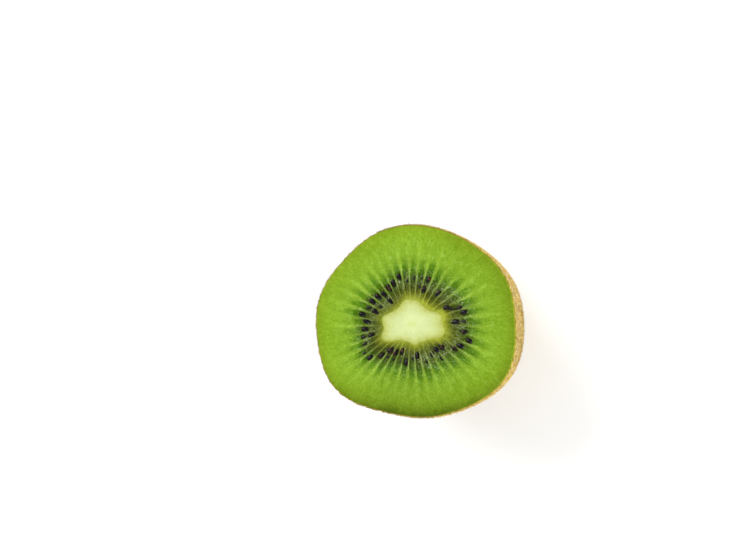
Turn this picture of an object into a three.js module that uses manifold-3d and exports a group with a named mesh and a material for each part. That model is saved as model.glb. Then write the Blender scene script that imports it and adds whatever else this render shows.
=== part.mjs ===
// A kiwi fruit cut across the middle: one half, lying on its rounded end with the cut face up.
// Millimetres, +Z up. The origin is the middle of the small flat spot the half rests on.
//
// Two pieces: the flesh with its skin, its seed chambers and its seeds, and the pale woody
// core that runs down the middle of the fruit from the cut almost to the end.

import * as THREE from 'three';
import { mergeVertices } from 'three/addons/utils/BufferGeometryUtils.js';
import Module from 'manifold-3d';

// Overall size of the half.
const WIDTH = 54.7; // across the cut, along X
const BREADTH = 50.7; // across the cut, along Y
const DEPTH = 33; // from the rounded end up to the cut, along Z
const REST_RADIUS = 7; // flat spot under the rounded end
const CUT_PAST = 6; // the whole fruit was widest this far above the cut
const BLUNTNESS = 2.05; // 2 would make the flank an ellipse, more makes it fuller
const SWELL = 1.6; // the flank is fuller by this much on one side, about +X
const SWELL_POWER = 18; // more makes that side narrower

// The cut face.
const EDGE_DROP = 0.3; // the flesh swells, so the middle stands above the skin's edge
const SKIN_ROUND = 0.35; // rounding of the skin's cut edge
const CHAMBERS = 40; // seed chambers round the core, with a pale ray between each two
const CHAMBER_SINK = 0.5; // how far a chamber's soft floor lies below the rays
const CHAMBER_REACH = 0.52; // how far a chamber runs from the core (0) to the skin (1)
const REACH_SPREAD = 0.05; // and by how much that differs between chambers
const WALL = 0.25; // share of a chamber's width taken by each of its sloping walls

// The core, a lobed spindle.
const CORE_RADIUS = 6.45; // mean radius at the cut
const CORE_X = -0.72; // the core sits a little to one side
const CORE_Y = -0.65;
const CORE_LENGTH = 25; // from the cut down to its tip
const CORE_BLUNTNESS = 1.9;
const CORE_ROUND = 0.12; // rounding of its cut edge
const GAP = 0.34; // clearance between the core and the flesh round it

// A seed: a flat oval pip lying along its chamber.
const SEED_LENGTH = 2.2;
const SEED_WIDTH = 1.35;
const SEED_THICKNESS = 1.0;
const SEED_LIFT = 0.08; // its middle above the chamber's floor
const SEED_SWING = 14; // degrees, the most a seed lies askew in its chamber
const SEED_SIDES = 6;
const SEED_RINGS = 4;

// The seeds the cut has laid open, ten chambers to a row. Each seed has three digits: hundredths
// of the way from the core to the skin, then tenths of the way across its chamber. A plus sign
// joins the seeds of one chamber, and a dash is an empty chamber.
const SEEDS = [
  '316 149+174+272 - - 243 - 177+324 194+303 283 244',
  '334 305 294 146+277 305 156+305 156+264 315 243 285',
  '187+306 296 347 346 266 162+265 183+276 145+288 287 197',
  '154 268 199 169+288 158 248 274 364 282 184+295',
].join(' ').split(' ');

// Waves round an outline, each [times round, strength, degrees to its first crest]. For the
// outlines the strength is a share of the mean radius, for the rays it is in degrees.
const RIM_WAVES = [
  [1, 0.033, -74], [2, 0.019, -4], [3, 0.025, -30], [4, 0.011, 40], [5, 0.008, 24],
  [6, 0.009, -23], [7, 0.007, 17],
];
const CORE_WAVES = [
  [2, 0.22, 0], [3, 0.107, -28], [4, 0.092, 4], [5, 0.03, -9], [6, 0.036, -24],
  [7, 0.023, 11], [8, 0.036, -19], [9, 0.02, 12], [10, 0.023, -12], [11, 0.025, 12],
];
const RAY_TURN_AT_RIM = 7.8;
const RAY_WAVES_AT_RIM = [[1, 6.1, 116], [2, 1.7, 36], [3, 1.3, 60]];
const RAY_TURN_AT_CORE = 9.2;
const RAY_WAVES_AT_CORE = [[1, 4.8, 93], [2, 4.9, -49], [3, 1.4, -55]];

// Fineness of the two bodies.
const COLUMN_PHASES = [0, WALL, 1 - WALL]; // where each chamber's columns stand across it
const COLUMNS = CHAMBERS * COLUMN_PHASES.length;
const FLANK_RINGS = 10;
const FACE_WAYS = [0.9, 0.72, 0.6, 0.52, 0.45, 0.37, 0.28, 0.2, 0.12, 0.05, 0];
const CORE_RINGS = 6;
const CORE_COLUMNS = 72;

const { degToRad, smoothstep } = THREE.MathUtils;
const wasm = await Module();
wasm.setup();

// Sum of the waves at an angle given in radians.
function wave(waves, angle) {
  let sum = 0;
  for (const [times, strength, crest] of waves) {
    sum += strength * Math.cos(times * (angle - degToRad(crest)));
  }
  return sum;
}

function polar(angle, radius) {
  return new THREE.Vector2(Math.cos(angle), Math.sin(angle)).multiplyScalar(radius);
}

// The skin's outline at the cut: a lobed round, centred and sized to WIDTH by BREADTH.
const roughRim = (angle) => polar(angle, 1 + wave(RIM_WAVES, angle));
const samples = Array.from({ length: 720 }, (_, step) => roughRim(degToRad(step / 2)));
const rimBox = new THREE.Box2().setFromPoints(samples);
const rimMiddle = rimBox.getCenter(new THREE.Vector2());
const rimScale = new THREE.Vector2(WIDTH, BREADTH).divide(rimBox.getSize(new THREE.Vector2()));
const MEAN_RADIUS = (WIDTH + BREADTH) / 4;

function rimPoint(angle) {
  return roughRim(angle).sub(rimMiddle).multiply(rimScale);
}

// The flank is a superellipse round the fruit's widest ring, which was above the cut. At the
// cut its share of the outline is 1, and at height 0 it has come in to the flat spot.
const FLANK_TOP = DEPTH - EDGE_DROP - SKIN_ROUND;
const WIDEST = FLANK_TOP + CUT_PAST;
const restPower = Math.pow(REST_RADIUS / MEAN_RADIUS, BLUNTNESS);
const lengthPower = Math.pow(WIDEST, BLUNTNESS) - restPower * Math.pow(CUT_PAST, BLUNTNESS);
const HALF_LENGTH = Math.pow(lengthPower / (1 - restPower), 1 / BLUNTNESS);

function fullness(height) {
  return Math.pow(1 - Math.pow((WIDEST - height) / HALF_LENGTH, BLUNTNESS), 1 / BLUNTNESS);
}

// A point of the skin: the lobes of the cut fade to a round towards the end.
function skinPoint(angle, height) {
  const share = fullness(height) / fullness(FLANK_TOP);
  const lobed = smoothstep(height, -DEPTH / 2, DEPTH);
  const swell = SWELL * Math.sin((Math.PI * height) / FLANK_TOP) * Math.cos(angle / 2) ** SWELL_POWER;
  const point = polar(angle, MEAN_RADIUS).lerp(rimPoint(angle), lobed);
  point.multiplyScalar(share * (1 + swell / MEAN_RADIUS));
  return new THREE.Vector3(point.x, point.y, height);
}

// The core's outline at a depth below the cut, widened by a margin.
function corePoint(angle, depth, margin) {
  const share = Math.pow(1 - Math.pow(depth / CORE_LENGTH, CORE_BLUNTNESS), 1 / CORE_BLUNTNESS);
  const radius = CORE_RADIUS * share * (1 + share * wave(CORE_WAVES, angle)) + margin;
  const point = polar(angle, radius);
  const upright = 1 - depth / DEPTH;
  return point.add(new THREE.Vector2(CORE_X, CORE_Y).multiplyScalar(upright));
}

// Rays and chambers fan out from the core to the skin. The turn round the fruit is counted
// in chambers, and the way out runs from 0 at the core to 1 at the skin.
function rayAngle(turn, degrees, waves) {
  const angle = (turn / CHAMBERS) * Math.PI * 2;
  return angle + degToRad(degrees + wave(waves, angle));
}

const rimAngle = (turn) => rayAngle(turn, RAY_TURN_AT_RIM, RAY_WAVES_AT_RIM);
const coreAngle = (turn) => rayAngle(turn, RAY_TURN_AT_CORE, RAY_WAVES_AT_CORE);

function chamberTip(chamber) {
  return CHAMBER_REACH + REACH_SPREAD * Math.sin(2.3 * chamber);
}

function chamberDepth(turn, way) {
  const chamber = Math.floor(turn);
  const phase = turn - chamber;
  const across = smoothstep(Math.min(phase, 1 - phase), 0, WALL);
  const along = way / chamberTip(chamber);
  return CHAMBER_SINK * across * smoothstep(along, 0, 0.3) * (1 - smoothstep(along, 0.6, 1));
}

function facePoint(turn, way) {
  const inner = corePoint(coreAngle(turn), 0, GAP);
  const outer = rimPoint(rimAngle(turn)).multiplyScalar(1 - SKIN_ROUND / MEAN_RADIUS);
  const point = inner.lerp(outer, way);
  const height = DEPTH - EDGE_DROP * Math.pow(way, 4) - chamberDepth(turn, way);
  return new THREE.Vector3(point.x, point.y, height);
}

// Turns a profile round Z, then moves each vertex to where place(column, ring) says.
function warpedLathe(profile, columns, place) {
  const lathe = new THREE.LatheGeometry(profile, columns);
  const position = lathe.getAttribute('position');
  for (let column = 0; column <= columns; column += 1) {
    for (let ring = 0; ring < profile.length; ring += 1) {
      const { x, y, z } = place(column % columns, ring);
      position.setXYZ(column * profile.length + ring, x, y, z);
    }
  }
  return lathe;
}

// Merges the vertices of a closed shape and makes it a solid that can be joined to others.
function solid(geometry) {
  geometry.deleteAttribute('normal');
  geometry.deleteAttribute('uv');
  const merged = mergeVertices(geometry, 1e-4);
  const corners = merged.index.array;
  const triangles = [];
  for (let at = 0; at < corners.length; at += 3) {
    const [a, b, c] = corners.slice(at, at + 3);
    if (a !== b && b !== c && c !== a) triangles.push(a, b, c);
  }
  const vertProperties = new Float32Array(merged.getAttribute('position').array);
  const mesh = new wasm.Mesh({ numProp: 3, vertProperties, triVerts: new Uint32Array(triangles) });
  return new wasm.Manifold(mesh);
}

function geometryOf(body) {
  const mesh = body.getMesh();
  const geometry = new THREE.BufferGeometry();
  geometry.setAttribute('position', new THREE.BufferAttribute(mesh.vertProperties, 3));
  geometry.setIndex(new THREE.BufferAttribute(mesh.triVerts, 1));
  geometry.computeVertexNormals();
  return geometry;
}

// Flesh. Its rings run from the middle of the flat spot up the skin, over the edge, in
// across the cut face to the core, and down the hollow the core lies in to its bottom.
function buildFlesh() {
  const rings = [];
  const centre = new THREE.Vector3(0, 0, 0);
  rings.push(() => centre);
  const lowest = Math.acos(Math.pow(WIDEST / HALF_LENGTH, BLUNTNESS / 2));
  const highest = Math.acos(Math.pow(CUT_PAST / HALF_LENGTH, BLUNTNESS / 2));
  for (let step = 0; step <= FLANK_RINGS; step += 1) {
    const rise = THREE.MathUtils.lerp(lowest, highest, step / FLANK_RINGS);
    const below = HALF_LENGTH * Math.pow(Math.cos(rise), 2 / BLUNTNESS);
    const height = THREE.MathUtils.clamp(WIDEST - below, 0, FLANK_TOP);
    rings.push((turn) => skinPoint(rimAngle(turn), height));
  }
  rings.push((turn) => facePoint(turn, 1));
  for (const way of FACE_WAYS) rings.push((turn) => facePoint(turn, way));
  for (let step = 1; step < CORE_RINGS; step += 1) {
    const depth = CORE_LENGTH * Math.sin((step / CORE_RINGS) * (Math.PI / 2));
    rings.push((turn) => {
      const point = corePoint(coreAngle(turn), depth, GAP);
      return new THREE.Vector3(point.x, point.y, DEPTH - depth);
    });
  }
  const tip = corePoint(0, CORE_LENGTH, 0);
  rings.push(() => new THREE.Vector3(tip.x, tip.y, DEPTH - CORE_LENGTH - GAP));

  const profile = rings.map((ring) => {
    const { x, y, z } = ring(0);
    return new THREE.Vector2(Math.hypot(x, y), z);
  });
  const body = warpedLathe(profile, COLUMNS, (column, ring) => {
    const chamber = Math.floor(column / COLUMN_PHASES.length);
    const turn = chamber + COLUMN_PHASES[column % COLUMN_PHASES.length];
    return rings[ring](turn);
  });
  return solid(body);
}

// One seed, its long axis roughly along the chamber it lies in.
function buildSeed(chamber, way, across) {
  const turn = chamber + across;
  const point = facePoint(turn, way);
  const ahead = facePoint(turn, way + 0.01);
  const askew = degToRad(SEED_SWING * Math.sin(5 * chamber + 40 * way));
  const seed = new THREE.SphereGeometry(0.5, SEED_SIDES, SEED_RINGS);
  seed.rotateZ(Math.PI / 2);
  seed.scale(SEED_LENGTH, SEED_WIDTH, SEED_THICKNESS);
  seed.rotateZ(Math.atan2(ahead.y - point.y, ahead.x - point.x) + askew);
  seed.translate(point.x, point.y, point.z + SEED_LIFT);
  return solid(seed);
}

// Core: from its tip up the lobed side, over the edge and in to the middle of its cut top.
function buildCore() {
  const rings = [];
  const middle = new THREE.Vector2(CORE_X, CORE_Y);
  const tip = corePoint(0, CORE_LENGTH, 0);
  rings.push(() => new THREE.Vector3(tip.x, tip.y, DEPTH - CORE_LENGTH));
  for (let step = CORE_RINGS - 1; step >= 0; step -= 1) {
    const depth = Math.max(CORE_LENGTH * Math.sin((step / CORE_RINGS) * (Math.PI / 2)), CORE_ROUND);
    rings.push((angle) => {
      const point = corePoint(angle, depth, 0);
      return new THREE.Vector3(point.x, point.y, DEPTH - depth);
    });
  }
  for (const share of [1, 0.5, 0]) {
    rings.push((angle) => {
      const point = corePoint(angle, 0, -CORE_ROUND).sub(middle).multiplyScalar(share).add(middle);
      return new THREE.Vector3(point.x, point.y, DEPTH);
    });
  }

  const profile = rings.map((ring) => new THREE.Vector2(ring(0).x - CORE_X, ring(0).z));
  const body = warpedLathe(profile, CORE_COLUMNS, (column, ring) => {
    return rings[ring]((column / CORE_COLUMNS) * Math.PI * 2);
  });
  return solid(body);
}

let fleshBody = buildFlesh();
SEEDS.forEach((seeds, chamber) => {
  for (const digits of seeds.match(/\d{3}/g) ?? []) {
    const way = Number(digits.slice(0, 2)) / 100;
    const across = Number(digits[2]) / 10;
    fleshBody = fleshBody.add(buildSeed(chamber, way, across));
  }
});

const fleshMaterial = new THREE.MeshStandardMaterial({ color: '#8fb92e', roughness: 0.35, metalness: 0 });
const flesh = new THREE.Mesh(geometryOf(fleshBody), fleshMaterial);
flesh.name = 'flesh';

const coreMaterial = new THREE.MeshStandardMaterial({ color: '#e0eca4', roughness: 0.45, metalness: 0 });
const core = new THREE.Mesh(geometryOf(buildCore()), coreMaterial);
core.name = 'core';

const group = new THREE.Group();
group.add(flesh, core);

export default group;
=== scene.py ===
import math
import random

import bpy
import numpy as np
from mathutils import Matrix, Vector
from mathutils.bvhtree import BVHTree


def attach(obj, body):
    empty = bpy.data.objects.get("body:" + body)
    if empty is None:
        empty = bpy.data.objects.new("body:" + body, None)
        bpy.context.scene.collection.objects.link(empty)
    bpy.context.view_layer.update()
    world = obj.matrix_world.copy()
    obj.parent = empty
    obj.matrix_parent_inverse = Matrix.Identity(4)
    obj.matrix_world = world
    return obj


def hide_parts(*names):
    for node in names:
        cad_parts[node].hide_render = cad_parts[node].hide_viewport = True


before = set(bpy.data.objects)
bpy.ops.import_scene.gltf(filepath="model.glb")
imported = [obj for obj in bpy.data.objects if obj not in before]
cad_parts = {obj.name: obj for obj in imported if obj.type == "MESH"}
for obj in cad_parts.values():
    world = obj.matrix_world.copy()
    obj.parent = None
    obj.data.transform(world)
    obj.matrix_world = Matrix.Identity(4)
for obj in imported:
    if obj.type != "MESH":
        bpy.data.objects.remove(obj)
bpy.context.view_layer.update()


# ---------------------------------------------------------------------------------- skin
# The rind of a green kiwi fruit: a dry leathery skin under half a millimetre thick, cut off
# square where the knife went through. It is a closed shell: up the outside from the middle
# of the flat spot, over the cut edge, and down the inside.

MM = 0.001
WIDTH = 54.7
BREADTH = 50.7
DEPTH = 33.0
REST_RADIUS = 7.0
CUT_PAST = 6.0
BLUNTNESS = 2.05
SWELL = 1.6
SWELL_POWER = 18
EDGE_DROP = 0.3
SKIN_ROUND = 0.35
SKIN_THICKNESS = 0.32
SKIN_COLUMNS = 640
FLANK_RINGS = 110
INSIDE_RINGS = 12
FLOOR_RINGS = 26
MEAN_RADIUS = (WIDTH + BREADTH) / 4
FLANK_TOP = DEPTH - EDGE_DROP - SKIN_ROUND

# Waves round an outline: times round, strength, degrees to the first crest.
RIM_WAVES = [(1, 0.033, -74), (2, 0.019, -4), (3, 0.025, -30), (4, 0.011, 40)]
RIM_WAVES += [(5, 0.008, 24), (6, 0.009, -23), (7, 0.007, 17)]
CHAMBERS = 40
RAY_TURN_AT_RIM = 7.8
RAY_WAVES_AT_RIM = [(1, 6.1, 116), (2, 1.7, 36), (3, 1.3, 60)]


def linear(code):
    """sRGB hex to linear red, green, blue and alpha."""
    channels = [int(code[i : i + 2], 16) / 255 for i in (1, 3, 5)]
    return (*[c / 12.92 if c <= 0.04045 else ((c + 0.055) / 1.055) ** 2.4 for c in channels], 1.0)


def add(tree, kind, inputs=None, stops=None, output=0, **settings):
    """Adds a node with its settings and links, and returns one of its outputs."""
    node = tree.nodes.new(kind)
    for name, value in settings.items():
        setattr(node, name, value)
    for key, value in (inputs or {}).items():
        if isinstance(value, bpy.types.NodeSocket):
            tree.links.new(value, node.inputs[key])
        else:
            node.inputs[key].default_value = value
    if stops:
        ramp = node.color_ramp.elements
        while len(ramp) < len(stops):
            ramp.new(0.5)
        for element, (place, code) in zip(ramp, stops):
            element.position = place
            element.color = linear(code)
    return node.outputs[output] if node.outputs else None


# For a map range that eases in and out.
SMOOTH = {"interpolation_type": "SMOOTHSTEP"}


def new_piece(name, mesh):
    piece = bpy.data.objects.new(name, mesh)
    bpy.context.collection.objects.link(piece)
    return piece


def new_material(name):
    """A material, its nodes, and the place on the object that its patterns are laid by."""
    material = bpy.data.materials.new(name)
    material.use_nodes = True
    tree = material.node_tree
    tree.nodes.clear()
    return material, tree, add(tree, "ShaderNodeTexCoord", output="Object")


def smoothstep(value, low, high):
    share = np.clip((value - low) / (high - low), 0, 1)
    return share * share * (3 - 2 * share)


def wave(table, angle):
    return sum(size * np.cos(times * (angle - math.radians(crest))) for times, size, crest in table)


def polar(angle, radius):
    return np.stack([np.cos(angle) * radius, np.sin(angle) * radius], axis=-1)


def rough_rim(angle):
    return polar(angle, 1 + wave(RIM_WAVES, angle))


rim_samples = rough_rim(np.radians(np.arange(0, 360, 0.5)))
rim_low, rim_high = rim_samples.min(axis=0), rim_samples.max(axis=0)


def rim_point(angle):
    """The skin's outline at the cut, centred and sized to WIDTH by BREADTH."""
    centred = rough_rim(angle) - (rim_low + rim_high) / 2
    return centred * np.array([WIDTH, BREADTH]) / (rim_high - rim_low)


def ray_angle(turn, degrees, table):
    angle = turn / CHAMBERS * 2 * math.pi
    return angle + np.radians(degrees + wave(table, angle))


def rim_angle(turn):
    return ray_angle(turn, RAY_TURN_AT_RIM, RAY_WAVES_AT_RIM)


WIDEST = FLANK_TOP + CUT_PAST
rest_power = (REST_RADIUS / MEAN_RADIUS) ** BLUNTNESS
length_power = WIDEST**BLUNTNESS - rest_power * CUT_PAST**BLUNTNESS
HALF_LENGTH = (length_power / (1 - rest_power)) ** (1 / BLUNTNESS)


def fullness(height):
    return (1 - ((WIDEST - height) / HALF_LENGTH) ** BLUNTNESS) ** (1 / BLUNTNESS)


def skin_ring(angle, height, inset=0.0):
    """One ring of the skin at a height; the lobes of the cut fade to a round further down."""
    share = fullness(height) / fullness(FLANK_TOP)
    lobed = float(smoothstep(height, -DEPTH / 2, DEPTH))
    outline = polar(angle, MEAN_RADIUS) * (1 - lobed) + rim_point(angle) * lobed
    swell = SWELL * math.sin(math.pi * height / FLANK_TOP) * np.cos(angle / 2) ** SWELL_POWER
    ring = outline * (share * (1 - inset / MEAN_RADIUS) * (1 + swell / MEAN_RADIUS))[:, None]
    return np.column_stack([ring, np.full(len(angle), height)])


def flank_heights(steps):
    """Heights of rings from the flat spot's edge to the cut edge, closest where it bends most."""
    lowest = math.acos((WIDEST / HALF_LENGTH) ** (BLUNTNESS / 2))
    highest = math.acos((CUT_PAST / HALF_LENGTH) ** (BLUNTNESS / 2))
    rises = np.linspace(lowest, highest, steps)
    return np.clip(WIDEST - HALF_LENGTH * np.cos(rises) ** (2 / BLUNTNESS), 0, FLANK_TOP)


def ringed_mesh(name, rings, values=None):
    """A closed mesh of rings of points, in millimetres. The first and last rings are poles.
    values holds a number per ring and column for each attribute."""
    count, columns = len(rings), len(rings[0])
    points = np.concatenate([rings[0][:1], *rings[1:-1], rings[-1][:1]]) * MM
    quads = []
    for ring in range(count - 3):
        here = 1 + ring * columns + np.arange(columns)
        there = 1 + ring * columns + (np.arange(columns) + 1) % columns
        quads.append(np.column_stack([here, there, there + columns, here + columns]))
    first_ring = 1 + np.arange(columns)
    last_ring = 1 + (count - 3) * columns + np.arange(columns)
    start = np.column_stack([np.zeros(columns, int), np.roll(first_ring, -1), first_ring])
    end = np.column_stack([np.full(columns, len(points) - 1), last_ring, np.roll(last_ring, -1)])
    faces = [face for part in (start, *quads, end) for face in part.tolist()]
    mesh = bpy.data.meshes.new(name)
    mesh.from_pydata(points.tolist(), [], faces)
    for key, table in (values or {}).items():
        flat = np.concatenate([table[0][:1], *table[1:-1], table[-1][:1]])
        mesh.attributes.new(key, "FLOAT", "POINT").data.foreach_set("value", flat.astype(np.float32))
    mesh.shade_smooth()
    return new_piece(name, mesh)


def same_round(numbers, columns):
    """A table for ringed_mesh with one number for the whole of each ring."""
    return np.repeat(np.array(numbers)[:, None], columns, axis=1)


turns = np.arange(SKIN_COLUMNS) / SKIN_COLUMNS * CHAMBERS
angles = rim_angle(turns)

# The scar where the stalk was: a corky ring round a shallow pit, inside the flat spot.
SCAR_RADIUS = 2.3
SCAR_DEPTH = 0.7
SCAR_RAGGED_TO = 4.0

ragged = 1 + 0.05 * np.cos(5 * angles) + 0.03 * np.cos(9 * angles + 1)
skin_rings = [np.tile([0, 0, SCAR_DEPTH], (SKIN_COLUMNS, 1))]
for radius in np.linspace(0, REST_RADIUS, FLOOR_RINGS)[1:]:
    pit = SCAR_DEPTH * (1 - smoothstep(radius, 0.55 * SCAR_RADIUS, 1.15 * SCAR_RADIUS))
    ring = polar(angles, radius * ragged if radius < SCAR_RAGGED_TO else radius)
    skin_rings.append(np.column_stack([ring, np.full(SKIN_COLUMNS, pit)]))

# The knife leaves the rind's rim a little ragged. Times round the rim, then size in mm.
RAG_TIMES = (41, 67, 83, 109, 139, 163)
RAG_SIZE = 0.1
RAG_BAND = 1.0

chance = random.Random(4)
rag_waves = [(times, RAG_SIZE / 3, chance.uniform(0, 360)) for times in RAG_TIMES]
rag = RAG_SIZE / 2 - wave(rag_waves, angles)
for height in flank_heights(FLANK_RINGS)[1:]:
    skin_rings.append(skin_ring(angles, height, rag * smoothstep(height, FLANK_TOP - RAG_BAND, FLANK_TOP)))
outer_rings = len(skin_rings)

# Over the cut edge: how far in, and how far up.
for inset, rise in ((0.05, 0.2), (0.12, 0.32), (SKIN_THICKNESS, SKIN_ROUND)):
    ring = skin_ring(angles, FLANK_TOP, inset + rag * (1 - inset / SKIN_THICKNESS))
    ring[:, 2] += rise
    skin_rings.append(ring)
inside_floor = SCAR_DEPTH + SKIN_THICKNESS
for height in flank_heights(INSIDE_RINGS)[::-1]:
    ring = skin_ring(angles, height, SKIN_THICKNESS)
    ring[:, 2] = inside_floor + ring[:, 2] * (1 - inside_floor / FLANK_TOP)
    skin_rings.append(ring)
skin_rings.append(np.tile([0, 0, inside_floor], (SKIN_COLUMNS, 1)))
outside = [1.0] * outer_rings + [0.0] * (len(skin_rings) - outer_rings)
skin = ringed_mesh("kiwi_skin", skin_rings, {"outside": same_round(outside, SKIN_COLUMNS)})

# How far below the cut the rind is soaked golden, in mm.
SOAKED_BAND = 1.3


def soaked(tree, place, codes):
    """The colour of rind that has soaked up juice: golden, with olive and rusty dots."""
    dots = add(tree, "ShaderNodeTexNoise", {"Vector": place, "Scale": 1 / (0.8 * MM), "Roughness": 0.6})
    return add(tree, "ShaderNodeValToRGB", {0: dots}, stops=list(zip((0.36, 0.46, 0.56, 0.66), codes)))


# Kiwi rind: dry dead cork cells over green flesh. Dull, olive brown, with rust-brown spots
# where the hairs stand, paler rubbed patches between them, and a golden band along the cut.
# Its down scatters light at a grazing angle, which the sheen stands for.
skin_material, tree, place = new_material("kiwi_rind")
drawn_out = add(tree, "ShaderNodeVectorMath", {0: place, 1: (1.0, 1.0, 0.3)}, operation="MULTIPLY")
patches = add(
    tree, "ShaderNodeTexNoise", {"Vector": place, "Scale": 1 / (9 * MM), "Detail": 4.0, "Roughness": 0.6}
)
speckle = add(
    tree,
    "ShaderNodeTexNoise",
    {"Vector": drawn_out, "Scale": 1 / (0.5 * MM), "Detail": 3.0, "Roughness": 0.7},
)
spots = add(tree, "ShaderNodeTexVoronoi", {"Vector": drawn_out, "Scale": 1 / (0.5 * MM)})
ground = add(
    tree, "ShaderNodeValToRGB", {0: patches}, stops=[(0.3, "#646038"), (0.5, "#7c764c"), (0.7, "#928c64")]
)
grain = add(
    tree, "ShaderNodeValToRGB", {0: speckle}, stops=[(0.35, "#68623c"), (0.55, "#948450"), (0.75, "#bca66c")]
)
mixed = add(
    tree, "ShaderNodeMix", {0: 0.5, 6: ground, 7: grain}, data_type="RGBA", blend_type="OVERLAY", output=2
)
spot_mask = add(tree, "ShaderNodeMapRange", {0: spots, 1: 0.12, 2: 0.32, 3: 1.0, 4: 0.0}, **SMOOTH)
spot_share = add(tree, "ShaderNodeMath", {0: spot_mask, 1: 0.6}, operation="MULTIPLY")
colour = add(
    tree, "ShaderNodeMix", {0: spot_share, 6: mixed, 7: linear("#a0662a")}, data_type="RGBA", output=2
)
level = add(tree, "ShaderNodeSeparateXYZ", {0: place}, output="Z")
soaked_band = {1: (FLANK_TOP - SOAKED_BAND) * MM, 2: FLANK_TOP * MM, 4: 0.8}
near_cut = add(tree, "ShaderNodeMapRange", {0: level, **soaked_band})
golden = soaked(tree, place, ("#5a4e14", "#706418", "#92801c", "#7c5018"))
colour = add(tree, "ShaderNodeMix", {0: near_cut, 6: colour, 7: golden}, data_type="RGBA", output=2)
bump = add(tree, "ShaderNodeBump", {"Height": speckle, "Strength": 0.35, "Distance": 0.12 * MM})
looks = {
    "Base Color": colour,
    "Roughness": 0.72,
    "IOR": 1.45,
    "Specular IOR Level": 0.2,
    "Sheen Weight": 0.95,
    "Sheen Roughness": 0.5,
    "Sheen Tint": linear("#ecd8a8"),
    "Normal": bump,
}
shader = add(tree, "ShaderNodeBsdfPrincipled", looks)
add(tree, "ShaderNodeOutputMaterial", {"Surface": shader})
skin.data.materials.append(skin_material)

# The same rind where the knife went through it, and on its inside: moist and golden. Painted light
# makes it a little lighter on the flat of the cut, in mm above FLANK_TOP.
FLAT_FROM, FLAT_TO = 0.26, 0.33

cut_material, tree, place = new_material("kiwi_rind_cut")
golden = soaked(tree, place, ("#5c5214", "#726618", "#8e7e1e", "#7a5218"))
# Painted light: a lighter copy of the golden rind, for the flat of the cut.
painted_light_flat = soaked(tree, place, ("#6c621a", "#80761e", "#988a26", "#86601e"))
level = add(tree, "ShaderNodeSeparateXYZ", {0: place}, output="Z")
flat = {1: (FLANK_TOP + FLAT_FROM) * MM, 2: (FLANK_TOP + FLAT_TO) * MM}
flat = add(tree, "ShaderNodeMapRange", {0: level, **flat})
golden = add(tree, "ShaderNodeMix", {0: flat, 6: golden, 7: painted_light_flat}, data_type="RGBA", output=2)
looks = {"Base Color": golden, "Roughness": 0.55, "IOR": 1.4, "Specular IOR Level": 0.2}
shader = add(tree, "ShaderNodeBsdfPrincipled", looks)
add(tree, "ShaderNodeOutputMaterial", {"Surface": shader})
skin.data.materials.append(cut_material)
out_at = skin.data.attributes["outside"].data
for face in skin.data.polygons:
    face.material_index = int(any(out_at[corner].value < 0.5 for corner in face.vertices))

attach(skin, "root")
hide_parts("flesh")


# --------------------------------------------------------------------------- skin's hairs
# The rind is covered in short stiff hairs that lie nearly flat and point towards the cut.
# Some are straw yellow, some rusty, some bleached. Each is a thin three-sided spike.


def run_nodes(piece, tree, values):
    """Runs a Geometry Nodes tree on a piece with its named inputs, and returns the plain mesh."""
    modifier = piece.modifiers.new("build", "NODES")
    modifier.node_group = tree
    for item in tree.interface.items_tree:
        if item.item_type == "SOCKET" and item.in_out == "INPUT" and item.name in values:
            modifier[item.identifier] = values[item.name]
    piece.update_tag()
    evaluated = piece.evaluated_get(bpy.context.evaluated_depsgraph_get())
    mesh = bpy.data.meshes.new_from_object(evaluated)
    piece.modifiers.remove(modifier)
    return mesh


def end_tree(tree, given, shape):
    """Ends a Geometry Nodes tree: real geometry with the material it was given."""
    whole = add(tree, "GeometryNodeRealizeInstances", {0: shape})
    done = add(tree, "GeometryNodeSetMaterial", {"Geometry": whole, "Material": given["Material"]})
    add(tree, "NodeGroupOutput", {"Geometry": done})


def new_tree(name, inputs):
    """A Geometry Nodes tree with named inputs, {name: default}, and one for its material."""
    tree = bpy.data.node_groups.new(name, "GeometryNodeTree")
    tree.interface.new_socket("Geometry", in_out="INPUT", socket_type="NodeSocketGeometry")
    tree.interface.new_socket("Geometry", in_out="OUTPUT", socket_type="NodeSocketGeometry")
    for key, default in inputs.items():
        kind = "NodeSocketInt" if isinstance(default, int) else "NodeSocketFloat"
        tree.interface.new_socket(key, in_out="INPUT", socket_type=kind).default_value = default
    tree.interface.new_socket("Material", in_out="INPUT", socket_type="NodeSocketMaterial")
    return tree, tree.nodes.new("NodeGroupInput").outputs


# Real hairs are about half as thick, but would be too fine to show.
HAIR_LENGTH = 0.68
HAIR_ROOT_RADIUS = 0.07
HAIRS_PER_MM2 = 3.5
BALD_BELOW = 1.0
SPARSE_BELOW = 2.5
CUT_BACK = 0.1

hair_tree, given = new_tree(
    "skin hairs",
    {
        "Hairs per m2": HAIRS_PER_MM2 / MM**2,
        "Length": HAIR_LENGTH * MM,
        "Root radius": HAIR_ROOT_RADIUS * MM,
        "Rubbed off below": SPARSE_BELOW * MM,
        "Cut off above": (FLANK_TOP - CUT_BACK) * MM,
        "Seed": 1,
    },
)
tree = hair_tree
where = add(tree, "GeometryNodeInputPosition")
height = add(tree, "ShaderNodeSeparateXYZ", {0: where}, output="Z")
kept = add(
    tree,
    "ShaderNodeMapRange",
    {0: height, 1: BALD_BELOW * MM, 2: given["Rubbed off below"], 3: 0.0, 4: given["Hairs per m2"]},
)
uncut = add(tree, "ShaderNodeMath", {0: height, 1: given["Cut off above"]}, operation="LESS_THAN")
kept = add(tree, "ShaderNodeMath", {0: kept, 1: uncut}, operation="MULTIPLY")
is_out = add(tree, "GeometryNodeInputNamedAttribute", {"Name": "outside"})
wanted = add(tree, "FunctionNodeCompare", {0: is_out, 1: 0.99}, operation="GREATER_THAN")
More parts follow.
